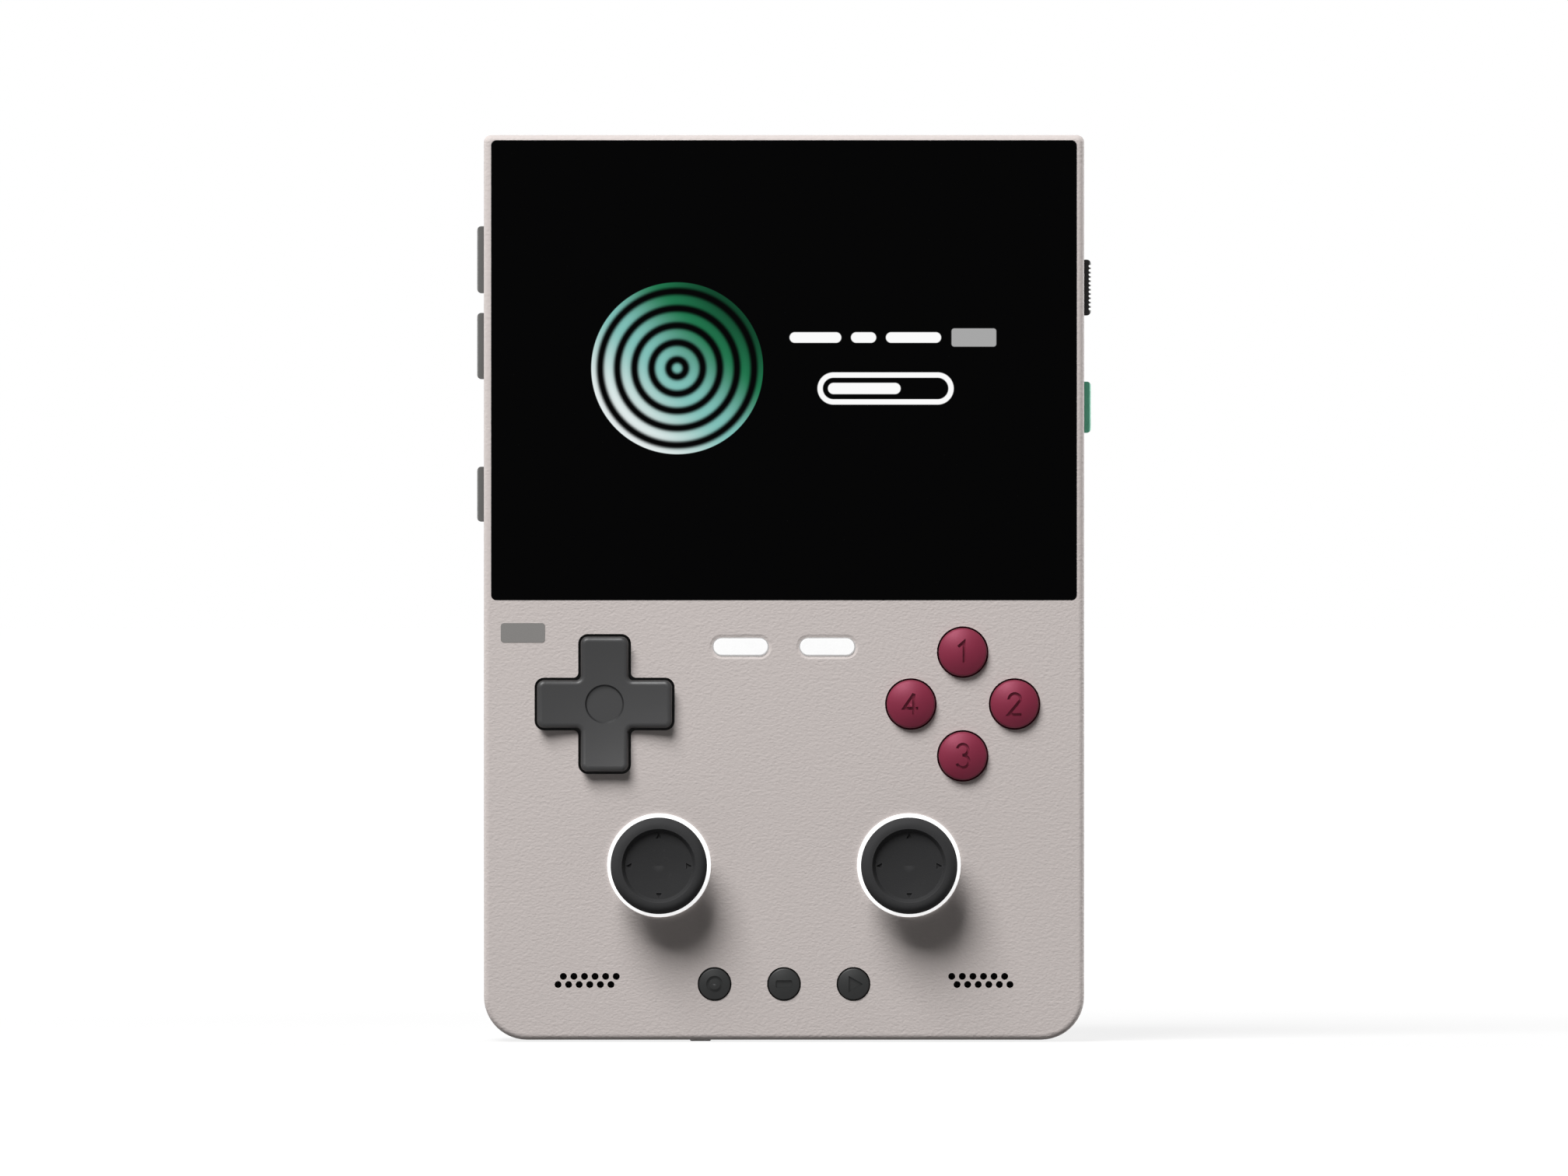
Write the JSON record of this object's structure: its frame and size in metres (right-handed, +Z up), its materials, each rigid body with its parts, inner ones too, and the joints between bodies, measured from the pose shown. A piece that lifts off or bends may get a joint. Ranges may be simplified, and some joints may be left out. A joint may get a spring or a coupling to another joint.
{
  "type": "handheld game console",
  "caption": "Upright handheld game console with a large screen above a direction pad, face buttons, thumbsticks with lit rings, side keys and rear shoulder keys.",
  "frame": {"origin": "centre of the flat bottom edge, half way through the case's depth", "axes": "+Z up along the case's height, -Y out of the face, +X to the right as the face is seen"},
  "size_m": [0.0882, 0.034, 0.1299],
  "materials": {
    "shell": "fine grained matt",
    "shell_key": "matt",
    "glass": "polished",
    "adhesive": "clear",
    "panel": "gloss",
    "foam": "matt",
    "steel": "brushed",
    "board": "solder mask",
    "chip": "matt",
    "screw": "machined",
    "battery": "satin foil",
    "mesh": "woven",
    "speaker": "matt",
    "black_plastic": "matt",
    "switch": "matt",
    "dark_key": "satin",
    "green_key": "satin",
    "grey_key": "satin",
    "red_button": "satin",
    "membrane": "matt",
    "light_guide": "translucent",
    "stick_rubber": "matt"
  },
  "bodies": {
    "console": {"battery": "battery", "board_chips": "chip", "button_membrane": "membrane", "card_socket": "steel", "case_screws": "screw", "cover_glass": "glass", "dpad_membrane": "membrane", "dpad_post": "steel", "front_shell": "shell", "function_membrane": "membrane", "headphone_socket": "black_plastic", "inner_screws": "screw", "lcd_panel": "panel", "light_rings": "light_guide", "main_board": "board", "mid_plate": "steel", "optical_adhesive": "adhesive", "processor_shield": "steel", "rear_shell": "shell", "screen_foam": "foam", "shoulder_board": "board", "side_board_left": "board", "side_board_right": "board", "slide_switch": "switch", "speaker_left": "speaker", "speaker_mesh": "mesh", "speaker_right": "speaker", "stick_housings": "switch", "tact_switches": "switch", "usb_socket": "steel", "vibration_motor": "steel"},
    "dpad_pivot": {"dpad_ball": "steel"},
    "dpad": {"dpad": "grey_key"},
    "button_top": {"button_top": "red_button"},
    "button_right": {"button_right": "red_button"},
    "button_bottom": {"button_bottom": "red_button"},
    "button_left": {"button_left": "red_button"},
    "pill_key_left": {"pill_key_left": "light_guide"},
    "pill_key_right": {"pill_key_right": "light_guide"},
    "function_key_left": {"function_key_left": "dark_key"},
    "function_key_middle": {"function_key_middle": "dark_key"},
    "function_key_right": {"function_key_right": "dark_key"},
    "stick_yoke_left": {"stick_yoke_left": "switch"},
    "stick_rocker_left": {"stick_rocker_left": "switch"},
    "stick_left": {"stick_left": "stick_rubber"},
    "stick_yoke_right": {"stick_yoke_right": "switch"},
    "stick_rocker_right": {"stick_rocker_right": "switch"},
    "stick_right": {"stick_right": "stick_rubber"},
    "side_key_upper": {"side_key_upper": "dark_key"},
    "side_key_middle": {"side_key_middle": "dark_key"},
    "side_key_lower": {"side_key_lower": "dark_key"},
    "power_key": {"power_key": "green_key"},
    "lock_slider": {"lock_slider": "dark_key"},
    "bumper_left": {"bumper_left": "dark_key"},
    "trigger_left": {"trigger_left": "dark_key"},
    "bumper_right": {"bumper_right": "dark_key"},
    "trigger_right": {"trigger_right": "dark_key"},
    "memory_card": {"memory_card": "black_plastic"},
    "reset_key": {"reset_key": "shell_key"}
  },
  "joints": [
    {"name": "dpad_tilt_up_down", "type": "hinge", "parent": "console", "child": "dpad_pivot", "pos_m": [-0.0257, -0.0083, 0.0481], "axis": [1, 0, 0], "range_deg": [-4, 4], "stiffness_Nm_per_rad": 0.08},
    {"name": "dpad_tilt_left_right", "type": "hinge", "parent": "dpad_pivot", "child": "dpad", "pos_m": [-0.0257, -0.0083, 0.0481], "axis": [0, 0, 1], "range_deg": [-4, 4], "stiffness_Nm_per_rad": 0.08},
    {"name": "button_top_press", "type": "slide", "parent": "console", "child": "button_top", "axis": [0, 1, 0], "range_m": [0, 0.0009], "stiffness_N_per_m": 350, "springref_m": -0.0005},
    {"name": "button_right_press", "type": "slide", "parent": "console", "child": "button_right", "axis": [0, 1, 0], "range_m": [0, 0.0009], "stiffness_N_per_m": 350, "springref_m": -0.0005},
    {"name": "button_bottom_press", "type": "slide", "parent": "console", "child": "button_bottom", "axis": [0, 1, 0], "range_m": [0, 0.0009], "stiffness_N_per_m": 350, "springref_m": -0.0005},
    {"name": "button_left_press", "type": "slide", "parent": "console", "child": "button_left", "axis": [0, 1, 0], "range_m": [0, 0.0009], "stiffness_N_per_m": 350, "springref_m": -0.0005},
    {"name": "pill_key_left_press", "type": "slide", "parent": "console", "child": "pill_key_left", "axis": [0, 1, 0], "range_m": [0, 0.0004], "stiffness_N_per_m": 900, "springref_m": -0.0005},
    {"name": "pill_key_right_press", "type": "slide", "parent": "console", "child": "pill_key_right", "axis": [0, 1, 0], "range_m": [0, 0.0004], "stiffness_N_per_m": 900, "springref_m": -0.0005},
    {"name": "function_key_left_press", "type": "slide", "parent": "console", "child": "function_key_left", "axis": [0, 1, 0], "range_m": [0, 0.0005], "stiffness_N_per_m": 500, "springref_m": -0.0005},
    {"name": "function_key_middle_press", "type": "slide", "parent": "console", "child": "function_key_middle", "axis": [0, 1, 0], "range_m": [0, 0.0005], "stiffness_N_per_m": 500, "springref_m": -0.0005},
    {"name": "function_key_right_press", "type": "slide", "parent": "console", "child": "function_key_right", "axis": [0, 1, 0], "range_m": [0, 0.0005], "stiffness_N_per_m": 500, "springref_m": -0.0005},
    {"name": "stick_left_tilt_up_down", "type": "hinge", "parent": "console", "child": "stick_yoke_left", "pos_m": [-0.0179, -0.0051, 0.025], "axis": [1, 0, 0], "range_deg": [-18, 18], "stiffness_Nm_per_rad": 0.03},
    {"name": "stick_left_tilt_left_right", "type": "hinge", "parent": "stick_yoke_left", "child": "stick_rocker_left", "pos_m": [-0.0179, -0.0051, 0.025], "axis": [0, 0, 1], "range_deg": [-18, 18], "stiffness_Nm_per_rad": 0.03},
    {"name": "stick_left_click", "type": "slide", "parent": "stick_rocker_left", "child": "stick_left", "axis": [0, 1, 0], "range_m": [0, 0.00025], "stiffness_N_per_m": 1500, "springref_m": -0.001},
    {"name": "stick_right_tilt_up_down", "type": "hinge", "parent": "console", "child": "stick_yoke_right", "pos_m": [0.0179, -0.0051, 0.025], "axis": [1, 0, 0], "range_deg": [-18, 18], "stiffness_Nm_per_rad": 0.03},
    {"name": "stick_right_tilt_left_right", "type": "hinge", "parent": "stick_yoke_right", "child": "stick_rocker_right", "pos_m": [0.0179, -0.0051, 0.025], "axis": [0, 0, 1], "range_deg": [-18, 18], "stiffness_Nm_per_rad": 0.03},
    {"name": "stick_right_click", "type": "slide", "parent": "stick_rocker_right", "child": "stick_right", "axis": [0, 1, 0], "range_m": [0, 0.00025], "stiffness_N_per_m": 1500, "springref_m": -0.001},
    {"name": "side_key_upper_press", "type": "slide", "parent": "console", "child": "side_key_upper", "axis": [1, 0, 0], "range_m": [0, 0.0003], "stiffness_N_per_m": 1000, "springref_m": -0.0005},
    {"name": "side_key_middle_press", "type": "slide", "parent": "console", "child": "side_key_middle", "axis": [1, 0, 0], "range_m": [0, 0.0003], "stiffness_N_per_m": 1000, "springref_m": -0.0005},
    {"name": "side_key_lower_press", "type": "slide", "parent": "console", "child": "side_key_lower", "axis": [1, 0, 0], "range_m": [0, 0.0003], "stiffness_N_per_m": 1000, "springref_m": -0.0005},
    {"name": "power_key_press", "type": "slide", "parent": "console", "child": "power_key", "axis": [-1, 0, 0], "range_m": [0, 0.0003], "stiffness_N_per_m": 1000, "springref_m": -0.0005},
    {"name": "lock_slider_slide", "type": "slide", "parent": "console", "child": "lock_slider", "axis": [0, 0, -1], "range_m": [0, 0.002]},
    {"name": "bumper_left_press", "type": "slide", "parent": "console", "child": "bumper_left", "axis": [0, -1, 0], "range_m": [0, 0.0008], "stiffness_N_per_m": 600, "springref_m": -0.0008},
    {"name": "trigger_left_pull", "type": "hinge", "parent": "console", "child": "trigger_left", "pos_m": [-0.0115, 0.01045, 0.10625], "axis": [1, 0, 0], "range_deg": [0, 6], "stiffness_Nm_per_rad": 0.06, "springref_deg": -4.58},
    {"name": "bumper_right_press", "type": "slide", "parent": "console", "child": "bumper_right", "axis": [0, -1, 0], "range_m": [0, 0.0008], "stiffness_N_per_m": 600, "springref_m": -0.0008},
    {"name": "trigger_right_pull", "type": "hinge", "parent": "console", "child": "trigger_right", "pos_m": [0.0115, 0.01045, 0.10625], "axis": [1, 0, 0], "range_deg": [0, 6], "stiffness_Nm_per_rad": 0.06, "springref_deg": -4.58},
    {"name": "memory_card_eject", "type": "slide", "parent": "console", "child": "memory_card", "axis": [0, 0, -1], "range_m": [0, 0.004]},
    {"name": "reset_key_press", "type": "slide", "parent": "console", "child": "reset_key", "axis": [0, 0, 1], "range_m": [0, 0.0003], "stiffness_N_per_m": 800, "springref_m": -0.0002}
  ]
}
